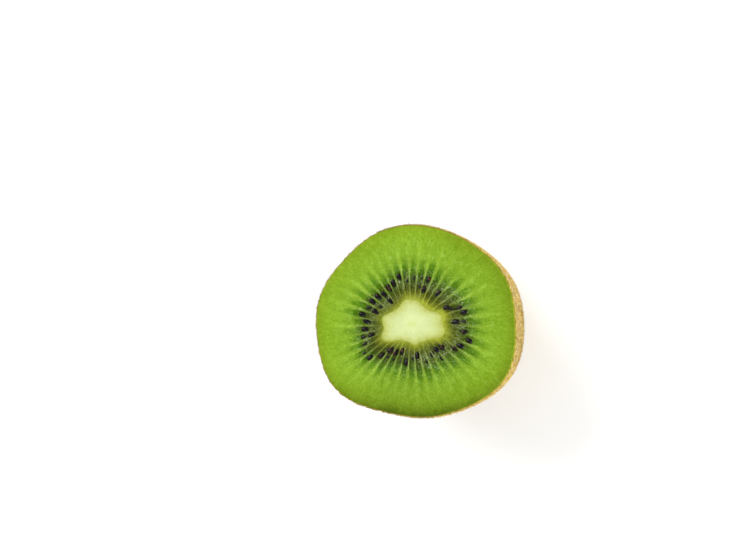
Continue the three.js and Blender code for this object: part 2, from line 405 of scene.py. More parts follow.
points = add(
    tree,
    "GeometryNodeDistributePointsOnFaces",
    {"Mesh": given["Geometry"], "Selection": wanted, "Density": kept, "Seed": given["Seed"]},
)
outward = points.node.outputs["Normal"]
across = add(tree, "ShaderNodeVectorMath", {0: (0, 0, 1), 1: outward}, operation="CROSS_PRODUCT")
uphill = add(tree, "ShaderNodeVectorMath", {0: outward, 1: across}, operation="CROSS_PRODUCT")
luck = []
for low, high, shift in ((-1.2, 1.2, 10.0), (0.2, 1.6, 20.0), (0.5, 1.2, 30.0)):
    own_seed = add(tree, "ShaderNodeMath", {0: given["Seed"], 1: shift})
    drawn = {2: low, 3: high, "Seed": own_seed}
    luck.append(add(tree, "FunctionNodeRandomValue", drawn, output=1))
swing, lift, long = luck
sideways = add(tree, "ShaderNodeVectorMath", {0: across, "Scale": swing}, operation="SCALE")
rising = add(tree, "ShaderNodeVectorMath", {0: outward, "Scale": lift}, operation="SCALE")
heading = add(tree, "ShaderNodeVectorMath", {0: uphill, 1: sideways})
heading = add(tree, "ShaderNodeVectorMath", {0: heading, 1: rising})
turned = add(tree, "FunctionNodeAlignRotationToVector", {"Vector": heading}, axis="Z")
size = add(tree, "ShaderNodeCombineXYZ", {"X": 1.0, "Y": 1.0, "Z": long})
shape = {"Vertices": 3, "Radius Top": 0.0, "Radius Bottom": given["Root radius"], "Depth": given["Length"]}
spike = add(tree, "GeometryNodeMeshCone", shape)
planted = {"Points": points, "Instance": spike, "Rotation": turned, "Scale": size}
spikes = add(tree, "GeometryNodeInstanceOnPoints", planted)
end_tree(tree, given, spikes)

# Hair: dry dead plant fibre with a waxy glow at its edge, golden where it is near the cut.
for seed, (name, share, root_code, tip_code) in enumerate(
    [
        ("kiwi_hair_straw", 1.5, "#a6963c", "#d0c068"),
        ("kiwi_hair_rust", 1.1, "#946428", "#c08c44"),
        ("kiwi_hair_pale", 0.5, "#aca488", "#d8d0b4"),
    ],
    start=1,
):
    hair_material, tree, place = new_material(name)
    shade = add(tree, "ShaderNodeTexNoise", {"Vector": place, "Scale": 1 / (1.2 * MM)})
    colour = add(tree, "ShaderNodeValToRGB", {0: shade}, stops=[(0.35, root_code), (0.65, tip_code)])
    level = add(tree, "ShaderNodeSeparateXYZ", {0: place}, output="Z")
    near_cut = add(tree, "ShaderNodeMapRange", {0: level, **soaked_band})
    golden = linear("#9a8826")
    colour = add(tree, "ShaderNodeMix", {0: near_cut, 6: colour, 7: golden}, data_type="RGBA", output=2)
    looks = {
        "Base Color": colour,
        "Roughness": 0.6,
        "IOR": 1.5,
        "Specular IOR Level": 0.2,
        "Sheen Weight": 0.75,
        "Sheen Roughness": 0.5,
        "Sheen Tint": linear("#ecd696"),
    }
    shader = add(tree, "ShaderNodeBsdfPrincipled", looks)
    add(tree, "ShaderNodeOutputMaterial", {"Surface": shader})
    density = HAIRS_PER_MM2 * share / MM**2
    mesh = run_nodes(skin, hair_tree, {"Seed": seed, "Hairs per m2": density, "Material": hair_material})
    hair = new_piece(name, mesh)
    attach(hair, "root")


# --------------------------------------------------------------------------------- flesh
# The green flesh inside the rind, one piece with its seed chambers. On the cut, pale rays
# run out from the core; between them lie sunken dark chambers filled with clear soft pulp.
# The rings are laid by rule, and Geometry Nodes sink the chambers and raise the pulp.

CHAMBER_SINK = 0.5
CHAMBER_REACH = 0.52
REACH_SPREAD = 0.05
WALL = 0.25
CORE_RADIUS = 6.45
CORE_X = -0.72
CORE_Y = -0.65
CORE_LENGTH = 25.0
CORE_BLUNTNESS = 1.9
CORE_WAVES = [(2, 0.220, 0), (3, 0.107, -28), (4, 0.092, 4), (5, 0.030, -9), (6, 0.036, -24)]
CORE_WAVES += [(7, 0.023, 11), (8, 0.036, -19), (9, 0.020, 12), (10, 0.023, -12), (11, 0.025, 12)]
RAY_TURN_AT_CORE = 9.2
RAY_WAVES_AT_CORE = [(1, 4.8, 93), (2, 4.9, -49), (3, 1.4, -55)]
CORE_MARGIN = 0.17
FLESH_COLUMNS = 640
GAP_IN_RIND = 0.03
GAP_OVER_RIND = 0.05
GAP_AT_CORE = 0.01
PULP_HEIGHT = 0.30
PULP_SIZE = 0.8
FIBRE_HEIGHT = 0.02
FLESH_FLANK_RINGS = 10
# The rings on the cut lie closer where the chambers are, from the core out to this way.
CHAMBERS_TO = 0.62
CHAMBER_RINGS = 80
OUTER_RINGS = 28
BORE_RINGS = 9
BORE_PAST_CORE = 0.2
# How much further than the mean the dark pulp and the core's halo reach, and how much lighter
# or darker than the mean the flesh is painted in its outer part and at the skin, as painted shade.
FLESH_WAVES = {
    "reach": [(2, 0.023, -10), (3, 0.020, -8), (5, 0.018, -21)],
    "halo": [(1, 0.023, 7), (2, 0.013, 46)],
    "shade": [(1, 0.112, 124), (2, 0.046, -10), (3, 0.042, -44)],
    "painted_rim_shade": [(1, 0.28, 103), (2, 0.06, -5), (3, 0.045, -36)],
}


def core_ring(angle, depth, margin):
    """The core's outline at a depth below the cut, widened by a margin."""
    share = max(0.0, 1 - (depth / CORE_LENGTH) ** CORE_BLUNTNESS) ** (1 / CORE_BLUNTNESS)
    radius = CORE_RADIUS * share * (1 + share * wave(CORE_WAVES, angle)) + margin
    ring = polar(angle, radius) + np.array([CORE_X, CORE_Y]) * (1 - depth / DEPTH)
    return np.column_stack([ring, np.full(len(angle), DEPTH - depth)])


def core_angle(turn):
    return ray_angle(turn, RAY_TURN_AT_CORE, RAY_WAVES_AT_CORE)


turns = np.arange(FLESH_COLUMNS) / FLESH_COLUMNS * CHAMBERS
bored = CORE_MARGIN + GAP_AT_CORE
inner = core_ring(core_angle(turns), 0, bored)[:, :2]
outer = rim_point(rim_angle(turns)) * (1 - SKIN_THICKNESS / MEAN_RADIUS)
floor_gap = inside_floor + GAP_OVER_RIND
flesh_rings, ways = [np.tile([0, 0, floor_gap], (FLESH_COLUMNS, 1))], [1.0]
for height in flank_heights(FLESH_FLANK_RINGS)[:-1]:
    ring = skin_ring(rim_angle(turns), height, SKIN_THICKNESS + GAP_IN_RIND)
    ring[:, 2] = floor_gap + ring[:, 2] * (1 - floor_gap / FLANK_TOP)
    flesh_rings.append(ring)
    ways.append(1.0)
outer_ways = np.linspace(1, CHAMBERS_TO, OUTER_RINGS)[:-1]
for way in (*outer_ways, *np.linspace(CHAMBERS_TO, 0, CHAMBER_RINGS)):
    spot = inner + (outer - inner) * way
    flesh_rings.append(np.column_stack([spot, np.full(FLESH_COLUMNS, DEPTH - EDGE_DROP * way**4)]))
    ways.append(way)
for step in np.linspace(0, 1, BORE_RINGS)[1:-1]:
    flesh_rings.append(core_ring(core_angle(turns), CORE_LENGTH * math.sin(step * math.pi / 2), bored))
    ways.append(0.0)
tip = core_ring(np.zeros(1), CORE_LENGTH, 0.0)[0]
flesh_rings.append(np.tile([tip[0], tip[1], DEPTH - CORE_LENGTH - BORE_PAST_CORE], (FLESH_COLUMNS, 1)))
ways.append(0.0)
values = {"turn": np.tile(turns, (len(ways), 1)), "way": same_round(ways, FLESH_COLUMNS)}
for key, waves in FLESH_WAVES.items():
    values[key] = np.tile(wave(waves, turns / CHAMBERS * 2 * math.pi), (len(ways), 1))
flesh = ringed_mesh("kiwi_flesh", flesh_rings, values)

# The same two numbers as a UV map: chambers round the core, and the way out to the skin.
# Faces across the seam count on past the last chamber.
mesh = flesh.data
corner = np.empty(len(mesh.loops), int)
mesh.loops.foreach_get("vertex_index", corner)
at_point = np.empty((2, len(mesh.vertices)), np.float32)
for row, key in zip(at_point, ("turn", "way")):
    mesh.attributes[key].data.foreach_get("value", row)
pairs = at_point[:, corner].T.copy()
starts = np.empty(len(mesh.polygons), int)
mesh.polygons.foreach_get("loop_start", starts)
owner = np.repeat(np.arange(len(starts)), np.diff(starts, append=len(corner)))
highest = np.maximum.reduceat(pairs[:, 0], starts)[owner]
pairs[(highest > CHAMBERS * 0.75) & (pairs[:, 0] < CHAMBERS * 0.25), 0] += CHAMBERS
mesh.uv_layers.new(name="fruit").data.foreach_set("uv", pairs.ravel())

relief_tree, given = new_tree(
    "chamber relief",
    {
        "Sink": CHAMBER_SINK * MM,
        "Wall share": WALL,
        "Reach": CHAMBER_REACH,
        "Reach spread": REACH_SPREAD,
        "Pulp height": PULP_HEIGHT * MM,
        "Pulp size": PULP_SIZE * MM,
        "Fibre height": FIBRE_HEIGHT * MM,
    },
)
tree = relief_tree
turn = add(tree, "GeometryNodeInputNamedAttribute", {"Name": "turn"})
way = add(tree, "GeometryNodeInputNamedAttribute", {"Name": "way"})
chamber = add(tree, "ShaderNodeMath", {0: turn}, operation="FLOOR")
swing = add(tree, "ShaderNodeMath", {0: chamber, 1: 2.3}, operation="MULTIPLY")
swing = add(tree, "ShaderNodeMath", {0: swing}, operation="SINE")
reach = add(
    tree, "ShaderNodeMath", {0: swing, 1: given["Reach spread"], 2: given["Reach"]}, operation="MULTIPLY_ADD"
)
from_ray = add(tree, "ShaderNodeMath", {0: turn, 1: 0.5}, operation="PINGPONG")
along = add(tree, "ShaderNodeMath", {0: way, 1: reach}, operation="DIVIDE")
across = add(tree, "ShaderNodeMapRange", {0: from_ray, 1: 0.0, 2: given["Wall share"]}, **SMOOTH)
opens = add(tree, "ShaderNodeMapRange", {0: along, 1: 0.0, 2: 0.3}, **SMOOTH)
closes = add(tree, "ShaderNodeMapRange", {0: along, 1: 0.6, 2: 1.0, 3: 1.0, 4: 0.0}, **SMOOTH)
inside = across
for factor in (opens, closes):
    inside = add(tree, "ShaderNodeMath", {0: inside, 1: factor}, operation="MULTIPLY")
sunk = add(tree, "ShaderNodeMath", {0: inside, 1: given["Sink"]}, operation="MULTIPLY")
where = add(tree, "GeometryNodeInputPosition")
fineness = add(tree, "ShaderNodeMath", {0: 1.0, 1: given["Pulp size"]}, operation="DIVIDE")
lumps = add(tree, "ShaderNodeTexNoise", {"Vector": where, "Scale": fineness, "Roughness": 0.6})
lumps = add(tree, "ShaderNodeMapRange", {0: lumps, 1: 0.3, 2: 0.7, 3: -0.5, 4: 0.5})
pulp = lumps
for factor in (given["Pulp height"], inside):
    pulp = add(tree, "ShaderNodeMath", {0: pulp, 1: factor}, operation="MULTIPLY")
fibre_turn = add(tree, "ShaderNodeMath", {0: turn, 1: 6.0}, operation="MULTIPLY")
fibre_way = add(tree, "ShaderNodeMath", {0: way, 1: 7.0}, operation="MULTIPLY")
fibre_place = add(tree, "ShaderNodeCombineXYZ", {"X": fibre_turn, "Y": fibre_way})
fibres = add(tree, "ShaderNodeTexNoise", {"Vector": fibre_place, "Scale": 1.0})
fibres = add(tree, "ShaderNodeMapRange", {0: fibres, 1: 0.3, 2: 0.7, 3: -0.5, 4: 0.5})
ends = add(tree, "ShaderNodeMath", {0: way, 1: 0.5}, operation="PINGPONG")
ends = add(tree, "ShaderNodeMapRange", {0: ends, 1: 0.0, 2: 0.05})
seam = add(tree, "ShaderNodeMath", {0: turn, 1: CHAMBERS / 2}, operation="PINGPONG")
seam = add(tree, "ShaderNodeMapRange", {0: seam, 1: 0.0, 2: 0.4})
for factor in (ends, seam, given["Fibre height"]):
    fibres = add(tree, "ShaderNodeMath", {0: fibres, 1: factor}, operation="MULTIPLY")
rise = add(tree, "ShaderNodeMath", {0: pulp, 1: sunk}, operation="SUBTRACT")
rise = add(tree, "ShaderNodeMath", {0: rise, 1: fibres})
offset = add(tree, "ShaderNodeCombineXYZ", {"Z": rise})
moved = add(tree, "GeometryNodeSetPosition", {"Geometry": given["Geometry"], "Offset": offset})
end_tree(tree, given, moved)

# Ripe kiwi flesh, cut and wet: bright green, a little see-through, with a film of juice that
# shines. Chambers go dark because light sinks into their clear pulp; rays are pale fibre.
flesh_material, tree, place = new_material("kiwi_flesh")
fruit = add(tree, "ShaderNodeUVMap", uv_map="fruit")
wobble = add(tree, "ShaderNodeTexNoise", {"Vector": place, "Scale": 1 / (3.2 * MM), "Detail": 3.0}, output=1)
wobble = add(tree, "ShaderNodeVectorMath", {0: wobble, 1: (0.5, 0.5, 0.5)}, operation="SUBTRACT")
wobble = add(tree, "ShaderNodeVectorMath", {0: wobble, 1: (0.32, 0.1, 0.0)}, operation="MULTIPLY")
warped = add(tree, "ShaderNodeVectorMath", {0: fruit, 1: wobble})
turn = add(tree, "ShaderNodeSeparateXYZ", {0: warped}, output="X")
way = add(tree, "ShaderNodeSeparateXYZ", {0: warped}, output="Y")
halo = add(tree, "ShaderNodeAttribute", attribute_name="halo", output="Fac")
near_core = add(tree, "ShaderNodeMapRange", {0: way, 1: 0.2, 2: 0.4, 3: 1.0, 4: 0.0})
halo = add(tree, "ShaderNodeMath", {0: halo, 1: near_core}, operation="MULTIPLY")
way = add(tree, "ShaderNodeMath", {0: way, 1: halo}, operation="SUBTRACT")

# Each ray and each chamber has its own strength and reach.
from_ray = add(tree, "ShaderNodeMath", {0: turn, 1: 0.5}, operation="PINGPONG")
luck = []
for whole, shift in (("ROUND", 0.0), ("FLOOR", 0.0), ("FLOOR", 60.5)):
    number = add(tree, "ShaderNodeMath", {0: turn}, operation=whole)
    number = add(tree, "ShaderNodeMath", {0: number, 1: float(CHAMBERS)}, operation="MODULO")
    number = add(tree, "ShaderNodeMath", {0: number, 1: shift})
    luck.append(add(tree, "ShaderNodeTexWhiteNoise", {"W": number}, noise_dimensions="1D"))
ray_luck, chamber_luck, clear_luck = luck
reach = add(tree, "ShaderNodeMapRange", {0: chamber_luck, 3: 0.53, 4: 0.69})
longer = add(tree, "ShaderNodeAttribute", attribute_name="reach", output="Fac")
reach = add(tree, "ShaderNodeMath", {0: reach, 1: longer})
along = add(tree, "ShaderNodeMath", {0: way, 1: reach}, operation="DIVIDE")
narrows = add(tree, "ShaderNodeMath", {0: along, 1: 4.0}, operation="POWER")
narrows = add(tree, "ShaderNodeMath", {0: narrows, 1: -0.36, 2: from_ray}, operation="MULTIPLY_ADD")
across = add(tree, "ShaderNodeMapRange", {0: narrows, 1: 0.0, 2: 0.22}, **SMOOTH)
closes = add(tree, "ShaderNodeMapRange", {0: along, 1: 0.6, 2: 1.08, 3: 1.0, 4: 0.0}, **SMOOTH)
inside = add(tree, "ShaderNodeMath", {0: across, 1: closes}, operation="MULTIPLY")
clearness = add(tree, "ShaderNodeMapRange", {0: clear_luck, 3: 0.55, 4: 1.0})
inside = add(tree, "ShaderNodeMath", {0: inside, 1: clearness}, operation="MULTIPLY")

near = [(0.00, "#8c9528"), (0.05, "#747c20"), (0.13, "#545f1e"), (0.22, "#526024"), (0.33, "#5d7526")]
far = [(0.45, "#6c8e24"), (0.62, "#7a9d26"), (0.85, "#76971f"), (1.00, "#708a19")]
colour = add(tree, "ShaderNodeValToRGB", {0: way}, stops=near + far)
near = [(0.00, "#8f982b"), (0.09, "#727a20"), (0.20, "#585f17"), (0.32, "#46540f")]
far = [(0.50, "#425c0c"), (0.68, "#47720a"), (0.85, "#4c790c"), (1.00, "#6a9218")]
pulp_colour = add(tree, "ShaderNodeValToRGB", {0: along}, stops=near + far)
# What lies over the flesh: where it shows, as factors to multiply, and its colour. A factor in
# braces is a range of the way from the core to the skin.
layers = [((inside,), pulp_colour)]

# Rays: thin and grey-green between the chambers, wider and fainter further out.
ray_wide = add(tree, "ShaderNodeMapRange", {0: way, 1: 0.1, 2: 0.5, 3: 0.15, 4: 0.28})
ray_mask = add(tree, "ShaderNodeMapRange", {0: from_ray, 1: 0.0, 2: ray_wide, 3: 1.0, 4: 0.0}, **SMOOTH)
ray_ends = add(tree, "ShaderNodeMapRange", {0: way, 1: 0.5, 2: 0.95, 3: 1.0, 4: 0.0}, **SMOOTH)
ray_power = add(tree, "ShaderNodeMapRange", {0: ray_luck, 3: 0.25, 4: 0.8})
ray_colour = add(
    tree,
    "ShaderNodeValToRGB",
    {0: way},
    stops=[(0.05, "#8b9430"), (0.2, "#6c7a42"), (0.33, "#789044"), (0.5, "#8bab38"), (0.8, "#8fae36")],
)
layers.append(((ray_mask, {1: 0.02, 2: 0.3, 3: 0.25}, ray_ends, ray_power), ray_colour))

# Each ray grows out of the core, so its root is pale.
root_wide = add(tree, "ShaderNodeMapRange", {0: from_ray, 1: 0.05, 2: 0.4, 3: 1.0, 4: 0.15}, **SMOOTH)
streaks = add(tree, "ShaderNodeMath", {0: turn, 1: 1.7}, operation="MULTIPLY")
streaks = add(tree, "ShaderNodeTexNoise", {"W": streaks, "Roughness": 0.7}, noise_dimensions="1D")
root_long = add(tree, "ShaderNodeMapRange", {0: streaks, 1: 0.35, 2: 0.7, 3: 0.01, 4: 0.08})
root = add(tree, "ShaderNodeMapRange", {0: way, 1: 0.0, 2: root_long, 3: 1.0, 4: 0.0})
layers.append(((root, root_wide, 0.3), linear("#aab44e")))

# Some chambers are filled with cloudy pulp, which veils the dark green below it.
cloudy = add(tree, "ShaderNodeTexNoise", {"Vector": place, "Scale": 1 / (5 * MM), "Roughness": 0.7})
cloudy = add(tree, "ShaderNodeMapRange", {0: cloudy, 1: 0.42, 2: 0.62, 4: 0.42}, **SMOOTH)
layers.append(((cloudy, inside, {1: 0.24, 2: 0.4, 3: 1.0, 4: 0.0}), linear("#6f7f34")))

# Whitish specks in the wet chambers, in patches: painted glints of light on the wet pulp, and burst juice
# sacs.
glints_and_sacs = add(tree, "ShaderNodeTexNoise", {"Vector": place, "Scale": 1 / (0.5 * MM), "Roughness": 0.6})
glints_and_sacs = add(tree, "ShaderNodeMapRange", {0: glints_and_sacs, 1: 0.55, 2: 0.68}, **SMOOTH)
wet_patch = add(tree, "ShaderNodeTexNoise", {"Vector": place, "Scale": 1 / (5 * MM), "Detail": 1.0})
wet_patch = add(tree, "ShaderNodeMapRange", {0: wet_patch, 1: 0.42, 2: 0.6})
masks = (glints_and_sacs, wet_patch, {1: 0.08, 2: 0.18}, {1: 0.3, 2: 0.58, 3: 0.6, 4: 0.0}, inside)
layers.append((masks, linear("#b2bb90")))

# The sacs' own walls show as a net of thin grey-green lines round the seeds.
walls = add(
    tree,
    "ShaderNodeTexVoronoi",
    {"Vector": place, "Scale": 1 / (1.1 * MM)},
    feature="DISTANCE_TO_EDGE",
)
walls = add(tree, "ShaderNodeMapRange", {0: walls, 1: 0.02, 2: 0.12, 3: 0.38, 4: 0.0}, **SMOOTH)
masks = (walls, wet_patch, {1: 0.08, 2: 0.18}, {1: 0.22, 2: 0.36, 3: 1.0, 4: 0.0})
layers.append((masks, linear("#8f9a6c")))

# Beyond its tip each chamber goes on as a faint dark line, broken into dashes.
gaps = add(tree, "ShaderNodeMapRange", {0: from_ray, 1: 0.2, 2: 0.45}, **SMOOTH)
gap_luck = add(tree, "ShaderNodeMath", {0: turn, 1: 2.0}, operation="MULTIPLY")
gap_drawn = add(tree, "ShaderNodeMath", {0: way, 1: 9.0}, operation="MULTIPLY")
gap_luck = add(tree, "ShaderNodeCombineXYZ", {"X": gap_luck, "Y": gap_drawn})
gap_luck = add(tree, "ShaderNodeTexNoise", {"Vector": gap_luck, "Scale": 1.0, "Detail": 1.0})
gap_luck = add(tree, "ShaderNodeMapRange", {0: gap_luck, 1: 0.4, 2: 0.65})
masks = (gaps, {1: 0.35, 2: 0.5}, {1: 0.58, 2: 0.8, 3: 0.28, 4: 0.0}, gap_luck)
layers.append((masks, linear("#406a08")))

# Pale flecks where small bundles of fibre end, mostly beyond the chambers' tips.
dashes = add(tree, "ShaderNodeVectorMath", {0: fruit, 1: (7.0, 12.0, 1.0)}, operation="MULTIPLY")
flecks = add(tree, "ShaderNodeTexNoise", {"Vector": dashes, "Scale": 1.0, "Detail": 1.0})
flecks = add(tree, "ShaderNodeMapRange", {0: flecks, 1: 0.60, 2: 0.76, 4: 0.4}, **SMOOTH)
masks = (flecks, {1: 0.3, 2: 0.55}, {1: 0.65, 2: 0.9, 3: 1.0, 4: 0.15})
layers.append((masks, linear("#a4bd66")))

for (mask, *factors), laid_on in layers:
    for factor in factors:
        if isinstance(factor, dict):
            factor = add(tree, "ShaderNodeMapRange", {0: way, **factor})
        mask = add(tree, "ShaderNodeMath", {0: mask, 1: factor}, operation="MULTIPLY")
    colour = add(tree, "ShaderNodeMix", {0: mask, 6: colour, 7: laid_on}, data_type="RGBA", output=2)

# Painted shade: the flesh is coloured darker on one side of the fruit and lighter on the other, most of all
# close to the skin.
side = add(tree, "ShaderNodeAttribute", attribute_name="shade", output="Fac")
painted_shade_share = add(tree, "ShaderNodeMapRange", {0: way, 1: 0.3, 2: 0.9, 3: 0.0, 4: 1.1})
side = add(tree, "ShaderNodeMath", {0: side, 1: painted_shade_share}, operation="MULTIPLY")
side = add(tree, "ShaderNodeMath", {0: side, 1: 0.957})
close_to_skin = add(tree, "ShaderNodeMapRange", {0: way, 1: 0.72, 2: 1.0})
close_to_skin = add(tree, "ShaderNodeMath", {0: close_to_skin, 1: 2.5}, operation="POWER")
# Painted shade at the skin: darker on one side of the rim, lighter on the other.
painted_rim_shade = add(tree, "ShaderNodeAttribute", attribute_name="painted_rim_shade", output="Fac")
painted_rim_shade = add(tree, "ShaderNodeMath", {0: painted_rim_shade, 1: -0.06})
side = add(tree, "ShaderNodeMath", {0: painted_rim_shade, 1: close_to_skin, 2: side}, operation="MULTIPLY_ADD")
colour = add(tree, "ShaderNodeVectorMath", {0: colour, "Scale": side}, operation="SCALE")

# Fine fibres run outwards through the whole flesh, and small cells mottle it. Both show most
# in the wet ring of chambers.
stretch = add(tree, "ShaderNodeVectorMath", {0: fruit, 1: (8.0, 9.0, 1.0)}, operation="MULTIPLY")
fibres = add(tree, "ShaderNodeTexNoise", {"Vector": stretch, "Scale": 1.0, "Detail": 3.0, "Roughness": 0.6})
cells = add(tree, "ShaderNodeTexNoise", {"Vector": place, "Scale": 1 / (0.5 * MM), "Roughness": 0.7})
grains = add(tree, "ShaderNodeTexNoise", {"Vector": place, "Scale": 1 / (1.4 * MM)})
clouds = add(tree, "ShaderNodeTexNoise", {"Vector": place, "Scale": 1 / (6 * MM), "Detail": 3.0})
ring_starts = add(tree, "ShaderNodeMapRange", {0: way, 1: 0.03, 2: 0.14})
ring_ends = add(tree, "ShaderNodeMapRange", {0: way, 1: 0.38, 2: 0.6, 3: 1.0, 4: 0.0})
ring = add(tree, "ShaderNodeMath", {0: ring_starts, 1: ring_ends}, operation="MULTIPLY")
mottles = [(fibres, 0.10, 0.2), (cells, 0.14, 0.34), (grains, 0.06, 0.14), (clouds, 0.06, 0.06)]
for pattern, plain, in_ring in mottles:
    strength = add(tree, "ShaderNodeMapRange", {0: ring, 3: plain, 4: in_ring})
    shade = add(tree, "ShaderNodeMapRange", {0: pattern, 1: 0.3, 2: 0.7, 3: -1.0, 4: 1.0})
    shade = add(tree, "ShaderNodeMath", {0: shade, 1: strength}, operation="MULTIPLY")
    milky = add(tree, "ShaderNodeVectorMath", {0: (1.25, 1.0, 3.0), "Scale": shade}, operation="SCALE")
    milky = add(tree, "ShaderNodeVectorMath", {0: milky, 1: (1.0, 1.0, 1.0)})
    colour = add(tree, "ShaderNodeVectorMath", {0: colour, 1: milky}, operation="MULTIPLY")
bump = add(tree, "ShaderNodeBump", {"Height": cells, "Strength": 0.2, "Distance": 0.06 * MM})
looks = {
    "Base Color": colour,
    "Roughness": 0.4,
    "IOR": 1.36,
    "Specular IOR Level": 0.08,
    "Subsurface Weight": 0.3,
    "Subsurface Radius": (0.9, 1.0, 0.35),
    "Subsurface Scale": 0.5 * MM,
    "Normal": bump,
}
shader = add(tree, "ShaderNodeBsdfPrincipled", looks)
add(tree, "ShaderNodeOutputMaterial", {"Surface": shader})

flesh.data = run_nodes(flesh, relief_tree, {"Material": flesh_material})
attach(flesh, "root")
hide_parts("flesh")


# ---------------------------------------------------------------------------------- core
# The columella: a woody, pale spindle down the middle of the fruit, lobed where the
# chambers press on it. Its cut top is smooth, and its edge melts into the flesh.

CORE_COLUMNS = 320
CORE_TIP = 0.1
CORE_SIDE_RINGS = 14
CORE_FACE_RINGS = 40

turns = np.arange(CORE_COLUMNS) / CORE_COLUMNS * CHAMBERS
angles = core_angle(turns)
core_rings = [np.tile([tip[0], tip[1], DEPTH - CORE_LENGTH - CORE_TIP], (CORE_COLUMNS, 1))]
for step in np.linspace(1, 0, CORE_SIDE_RINGS)[1:-1]:
    core_rings.append(core_ring(angles, CORE_LENGTH * math.sin(step * math.pi / 2), CORE_MARGIN))
outs = [1.0] * len(core_rings)
top = core_ring(angles, 0, CORE_MARGIN)
middle = np.array([CORE_X, CORE_Y, DEPTH])
for share in np.linspace(1, 0, CORE_FACE_RINGS):
    core_rings.append(middle + (top - middle) * share)
    outs.append(share)
values = {"out": same_round(outs, CORE_COLUMNS), "turn": np.tile(turns, (len(outs), 1))}
core = ringed_mesh("kiwi_core", core_rings, values)

# Woody pith: cream with a breath of green, almost evenly coloured, silky and moist.
core_material, tree, place = new_material("kiwi_core")
out = add(tree, "ShaderNodeAttribute", attribute_name="out", output="Fac")
ragged = {"Vector": place, "Scale": 1 / (0.8 * MM), "Detail": 3.0, "Roughness": 0.6}
ragged = add(tree, "ShaderNodeTexNoise", ragged)
ragged = add(tree, "ShaderNodeMapRange", {0: ragged, 1: 0.3, 2: 0.7, 3: -0.07, 4: 0.07})
out = add(tree, "ShaderNodeMath", {0: out, 1: ragged})
streaks = add(tree, "ShaderNodeAttribute", attribute_name="turn", output="Fac")
streaks = add(tree, "ShaderNodeMath", {0: streaks, 1: 1.7}, operation="MULTIPLY")
streaks = add(tree, "ShaderNodeTexNoise", {"W": streaks, "Roughness": 0.7}, noise_dimensions="1D")
streaks = add(tree, "ShaderNodeMapRange", {0: streaks, 1: 0.35, 2: 0.7, 3: 0.06, 4: -0.1})
out = add(tree, "ShaderNodeMath", {0: out, 1: streaks})
near = [(0.0, "#bdcb80"), (0.11, "#c0cd8a"), (0.2, "#c4cf94"), (0.5, "#bec98c")]
far = [(0.72, "#b7c17e"), (0.82, "#b2ba70"), (0.91, "#aab25c"), (1.0, "#97a03e")]
colour = add(tree, "ShaderNodeValToRGB", {0: out}, stops=near + far)
fine = add(tree, "ShaderNodeTexNoise", {"Vector": place, "Scale": 1 / (0.5 * MM), "Detail": 3.0})
broad = add(tree, "ShaderNodeTexNoise", {"Vector": place, "Scale": 1 / (3 * MM)})
for pattern, low, high in ((fine, 0.97, 1.03), (broad, 0.975, 1.055)):
    shade = add(tree, "ShaderNodeMapRange", {0: pattern, 1: 0.3, 2: 0.7, 3: low, 4: high})
    colour = add(tree, "ShaderNodeVectorMath", {0: colour, "Scale": shade}, operation="SCALE")
bump = add(tree, "ShaderNodeBump", {"Height": fine, "Strength": 0.15, "Distance": 0.06 * MM})
looks = {
    "Base Color": colour,
    "Roughness": 0.42,
    "IOR": 1.37,
    "Subsurface Weight": 0.4,
    "Subsurface Radius": (1.0, 1.0, 0.5),
    "Subsurface Scale": 0.9 * MM,
    "Coat Weight": 0.15,
    "Coat Roughness": 0.2,
    "Normal": bump,
}
shader = add(tree, "ShaderNodeBsdfPrincipled", looks)
add(tree, "ShaderNodeOutputMaterial", {"Surface": shader})
core.data.materials.append(core_material)
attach(core, "root")
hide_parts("core")


# --------------------------------------------------------------------------------- seeds
# Small flat pips, nearly black, with a hard coat. They lie along their chambers, held in the
# pulp, with the point towards the core.

# Ten chambers to a row. Each seed has three digits: hundredths of the way from the core to the
# skin, then tenths of the way across its chamber. One marked s is half under the pulp, and a
# dash is an empty chamber.
SEEDS = (
    "316 149+174s+272 - - 243 - 177+324 194s+303s 283s 244s "
    "334 305 294 146+277 305 156s+305 156+264s 315 243 285 "
    "187+306s 296s 347s 346 266 162+265s 183+276s 145+288s 287 197s "
    "154 268s 199s 169+288s 158 248 274 364 282 184+295s"
)
SEED_LENGTH = 2.2
SEED_WIDTH = 1.35
SEED_THICKNESS = 1.0
SEED_POINT = 0.55
SEED_LIFT = 0.08
SUNK_LIFT = -0.36
SEED_SWING = math.radians(14)
ABOVE_CUT = 0.05  # metres, from where the pulp is felt for

surface = BVHTree.FromObject(flesh, bpy.context.evaluated_depsgraph_get())
chance = random.Random(7)
spots, headings, sizes, sunks = [], [], [], []
for number, entry in enumerate(SEEDS.split()):
    for seed in entry.split("+") if entry != "-" else []:
        turn = np.array([number + int(seed[2]) / 10])
        way = int(seed[:2]) / 100
        start = core_ring(core_angle(turn), 0, CORE_MARGIN)[0, :2]
        stop = rim_point(rim_angle(turn))[0] * (1 - SKIN_THICKNESS / MEAN_RADIUS)
        spot = (start + (stop - start) * way) * MM
        hit = surface.ray_cast(Vector((spot[0], spot[1], ABOVE_CUT)), Vector((0, 0, -1)))[0]
        lift = SUNK_LIFT if seed.endswith("s") else SEED_LIFT
        spots.append((spot[0], spot[1], hit.z + lift * MM))
        outward = stop - start
        swing = SEED_SWING * math.sin(5 * number + 40 * way)
        headings.append(math.atan2(-outward[1], -outward[0]) + swing)
        sizes.append(chance.uniform(0.9, 1.04))
        sunks.append(1.0 if seed.endswith("s") else 0.0)

seed_points = bpy.data.meshes.new("seed points")
seed_points.from_pydata(spots, [], [])
for key, numbers in (("heading", headings), ("size", sizes), ("sunk", sunks)):
    seed_points.attributes.new(key, "FLOAT", "POINT").data.foreach_set("value", numbers)
seeds = new_piece("kiwi_seeds", seed_points)

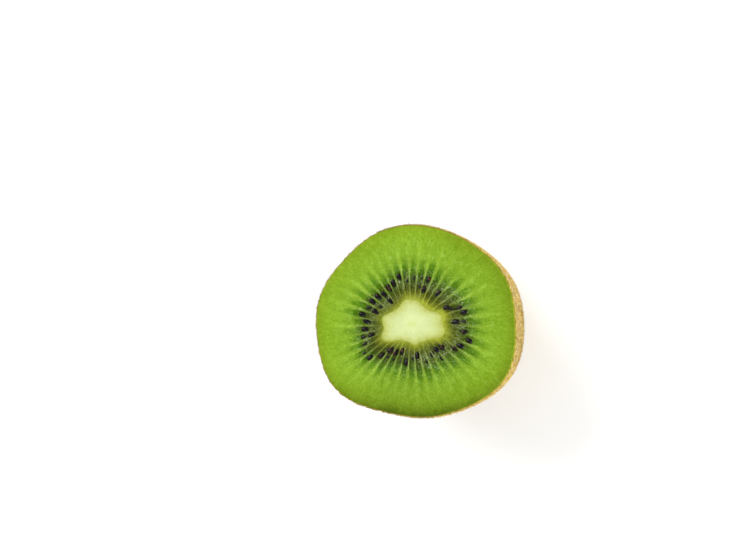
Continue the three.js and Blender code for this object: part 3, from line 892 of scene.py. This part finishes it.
seed_tree, given = new_tree(
    "seeds",
    {
        "Length": SEED_LENGTH * MM,
        "Width": SEED_WIDTH * MM,
        "Thickness": SEED_THICKNESS * MM,
        "Point": SEED_POINT,
    },
)
tree = seed_tree
ball = add(tree, "GeometryNodeMeshUVSphere", {"Segments": 20, "Rings": 12, "Radius": 0.5})
where = add(tree, "GeometryNodeInputPosition")
forward = add(tree, "ShaderNodeSeparateXYZ", {0: where}, output="X")
taper = add(tree, "ShaderNodeMath", {0: forward, 1: given["Point"]}, operation="MULTIPLY")
taper = add(tree, "ShaderNodeMath", {0: 1.0, 1: taper}, operation="SUBTRACT")
wide = add(tree, "ShaderNodeMath", {0: taper, 1: given["Width"]}, operation="MULTIPLY")
thick = add(tree, "ShaderNodeMath", {0: taper, 1: given["Thickness"]}, operation="MULTIPLY")
form = add(tree, "ShaderNodeCombineXYZ", {"X": given["Length"], "Y": wide, "Z": thick})
formed = add(tree, "ShaderNodeVectorMath", {0: where, 1: form}, operation="MULTIPLY")
marked = {"Geometry": ball, "Name": "forward", "Value": forward}
pip = add(tree, "GeometryNodeStoreNamedAttribute", marked)
pip = add(tree, "GeometryNodeSetPosition", {"Geometry": pip, "Position": formed})
pip = add(tree, "GeometryNodeSetShadeSmooth", {"Geometry": pip})
facing = add(tree, "GeometryNodeInputNamedAttribute", {"Name": "heading"})
facing = add(tree, "ShaderNodeCombineXYZ", {"Z": facing})
facing = add(tree, "FunctionNodeEulerToRotation", {0: facing})
size = add(tree, "GeometryNodeInputNamedAttribute", {"Name": "size"})
planted = {"Points": given["Geometry"], "Instance": pip, "Rotation": facing, "Scale": size}
pips = add(tree, "GeometryNodeInstanceOnPoints", planted)
end_tree(tree, given, pips)

# Seed coat: hard, polished, purple black, worn to chestnut in a patch behind its middle, wet.
seed_material, tree, place = new_material("kiwi_seed")
worn = {"Vector": place, "Scale": 1 / (0.9 * MM), "Detail": 3.0, "Roughness": 0.65}
worn = add(tree, "ShaderNodeTexNoise", worn)
pits = add(tree, "ShaderNodeTexVoronoi", {"Vector": place, "Scale": 1 / (0.18 * MM)})
forward = add(tree, "ShaderNodeAttribute", attribute_name="forward", output="Fac")
behind = add(tree, "ShaderNodeMath", {0: forward, 1: -0.1, 2: 0.3}, operation="COMPARE")
behind = add(tree, "ShaderNodeMath", {0: behind, 1: 0.07}, operation="MULTIPLY")
worn = add(tree, "ShaderNodeMath", {0: worn, 1: behind})
colour = add(
    tree, "ShaderNodeValToRGB", {0: worn}, stops=[(0.5, "#07050a"), (0.66, "#120a0a"), (0.76, "#683a14")]
)
# Pulp lies over the sunk ones and greys them.
sunk = add(tree, "ShaderNodeAttribute", attribute_name="sunk", output="Fac")
sunk = add(tree, "ShaderNodeMath", {0: sunk, 1: 0.7}, operation="MULTIPLY")
colour = add(tree, "ShaderNodeMix", {0: sunk, 6: colour, 7: linear("#262a18")}, data_type="RGBA", output=2)
bump = add(tree, "ShaderNodeBump", {"Height": pits, "Strength": 0.3, "Distance": 0.03 * MM})
looks = {"Base Color": colour, "Roughness": 0.2, "IOR": 1.45, "Specular IOR Level": 0.22, "Normal": bump}
shader = add(tree, "ShaderNodeBsdfPrincipled", looks)
add(tree, "ShaderNodeOutputMaterial", {"Surface": shader})
seeds.data = run_nodes(seeds, seed_tree, {"Material": seed_material})
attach(seeds, "root")


# --------------------------------------------------------------------------------- juice
# Tiny beads of juice and burst pulp sacs that stand on the wet chambers and catch the light.
# Each is a squashed ball, half sunk in the pulp.

BEADS_PER_MM2 = 0.55
BEAD_RADIUS = 0.16

bead_tree, given = new_tree(
    "juice beads",
    {
        "Beads per m2": BEADS_PER_MM2 / MM**2,
        "Radius": BEAD_RADIUS * MM,
        "Seed": 3,
    },
)
tree = bead_tree
turn = add(tree, "GeometryNodeInputNamedAttribute", {"Name": "turn"})
way = add(tree, "GeometryNodeInputNamedAttribute", {"Name": "way"})
from_ray = add(tree, "ShaderNodeMath", {0: turn, 1: 0.5}, operation="PINGPONG")
across = add(tree, "ShaderNodeMapRange", {0: from_ray, 1: 0.12, 2: 0.3})
starts = add(tree, "ShaderNodeMapRange", {0: way, 1: 0.06, 2: 0.14})
ends = add(tree, "ShaderNodeMapRange", {0: way, 1: 0.34, 2: 0.5, 3: 1.0, 4: 0.0})
dense = across
for factor in (starts, ends, given["Beads per m2"]):
    dense = add(tree, "ShaderNodeMath", {0: dense, 1: factor}, operation="MULTIPLY")
onto = {"Mesh": given["Geometry"], "Density": dense, "Seed": given["Seed"]}
points = add(tree, "GeometryNodeDistributePointsOnFaces", onto)
bead = add(tree, "GeometryNodeMeshIcoSphere", {"Radius": given["Radius"], "Subdivisions": 2})
bead = add(tree, "GeometryNodeSetShadeSmooth", {"Geometry": bead})
size = {0: (0.5, 0.4, 0.35), 1: (1.5, 1.1, 0.8), "Seed": 5}
size = add(tree, "FunctionNodeRandomValue", size, data_type="FLOAT_VECTOR")
spin = {0: (0, 0, 0), 1: (0.3, 0.3, 6.28), "Seed": 6}
spin = add(tree, "FunctionNodeRandomValue", spin, data_type="FLOAT_VECTOR")
spin = add(tree, "FunctionNodeEulerToRotation", {0: spin})
planted = {"Points": points, "Instance": bead, "Rotation": spin, "Scale": size}
beads = add(tree, "GeometryNodeInstanceOnPoints", planted)
end_tree(tree, given, beads)

# Juice: clear water with sugar, tinted by the flesh under it.
juice_material, tree, place = new_material("kiwi_juice")
tint = add(tree, "ShaderNodeTexNoise", {"Vector": place, "Scale": 1 / (2 * MM)})
colour = add(tree, "ShaderNodeValToRGB", {0: tint}, stops=[(0.3, "#cfe0a0"), (0.7, "#f2f7dc")])
looks = {"Base Color": colour, "Roughness": 0.04, "IOR": 1.35, "Transmission Weight": 0.9}
shader = add(tree, "ShaderNodeBsdfPrincipled", looks)
add(tree, "ShaderNodeOutputMaterial", {"Surface": shader})
juice = new_piece("kiwi_juice", run_nodes(flesh, bead_tree, {"Material": juice_material}))
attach(juice, "root")


# ------------------------------------------------------------------ floor, light, camera
# A plain pale floor under a bright soft sky, a wide soft lamp from beyond the top of the
# fruit, and a long lens that looks down on the cut face, a little from its right.

FLOOR_HALF = 1.5
SKY_STRENGTH = 0.55

floor_mesh = bpy.data.meshes.new("floor")
corners = [(x * FLOOR_HALF, y * FLOOR_HALF, 0) for x, y in ((-1, -1), (1, -1), (1, 1), (-1, 1))]
floor_mesh.from_pydata(corners, [], [(0, 1, 2, 3)])
floor = new_piece("floor", floor_mesh)
floor_material, tree, place = new_material("floor")
paper = add(tree, "ShaderNodeTexNoise", {"Vector": place, "Scale": 4.0})
colour = add(tree, "ShaderNodeValToRGB", {0: paper}, stops=[(0.0, "#eceded"), (1.0, "#efeff0")])
shader = add(tree, "ShaderNodeBsdfPrincipled", {"Base Color": colour, "Roughness": 0.6})
add(tree, "ShaderNodeOutputMaterial", {"Surface": shader})
floor_mesh.materials.append(floor_material)

world = bpy.data.worlds.new("studio")
bpy.context.scene.world = world
world.use_nodes = True
sky = world.node_tree.nodes["Background"].inputs
sky["Color"].default_value = (1, 1, 1, 1)
sky["Strength"].default_value = SKY_STRENGTH

# Name, place in metres, width and height in metres, power in watts.
LAMP_AIM = Vector((0, 0, 0.03))
LAMPS = (
    ("key", (-0.55, 0.50, 0.55), (0.75, 0.75), 8.3),
    ("side", (0.85, -0.14, 0.14), (0.70, 0.22), 17.5),
    ("front", (0.0, -0.85, 0.55), (0.75, 0.75), 4.4),
)
for name, spot, size, power in LAMPS:
    lamp = bpy.data.lights.new(name, "AREA")
    lamp.shape = "RECTANGLE"
    lamp.size, lamp.size_y = size
    lamp.energy = power
    light = new_piece(name, lamp)
    light.location = spot
    light.rotation_euler = (LAMP_AIM - Vector(spot)).to_track_quat("-Z", "Y").to_euler()

IMAGE_WIDTH, IMAGE_HEIGHT = 730, 548
LENS, SENSOR = 180.0, 36.0
PIXEL = 0.262 * MM
FACE_AT = (415.05, 321.0)  # the pixel that the middle of the cut face falls on
LEAN_RIGHT, LEAN_FRONT = math.radians(17.5), math.radians(2.2)

back = Vector((math.sin(LEAN_RIGHT), -math.sin(LEAN_FRONT), 1)).normalized()
right = Vector((0, 1, 0)).cross(back).normalized()
up = back.cross(right)
distance = PIXEL * IMAGE_WIDTH * LENS / SENSOR
aim = Vector((0, 0, (DEPTH - EDGE_DROP) * MM))
aim -= right * (FACE_AT[0] - IMAGE_WIDTH / 2) * PIXEL
aim += up * (FACE_AT[1] - IMAGE_HEIGHT / 2) * PIXEL
camera_data = bpy.data.cameras.new("camera")
camera_data.lens = LENS
camera_data.sensor_width = SENSOR
camera_data.clip_start = 0.01
camera = new_piece("camera", camera_data)
rotation = Matrix((right, up, back)).transposed().to_4x4()
camera.matrix_world = Matrix.Translation(aim + back * distance) @ rotation
bpy.context.scene.camera = camera
bpy.context.scene.view_settings.view_transform = "Standard"
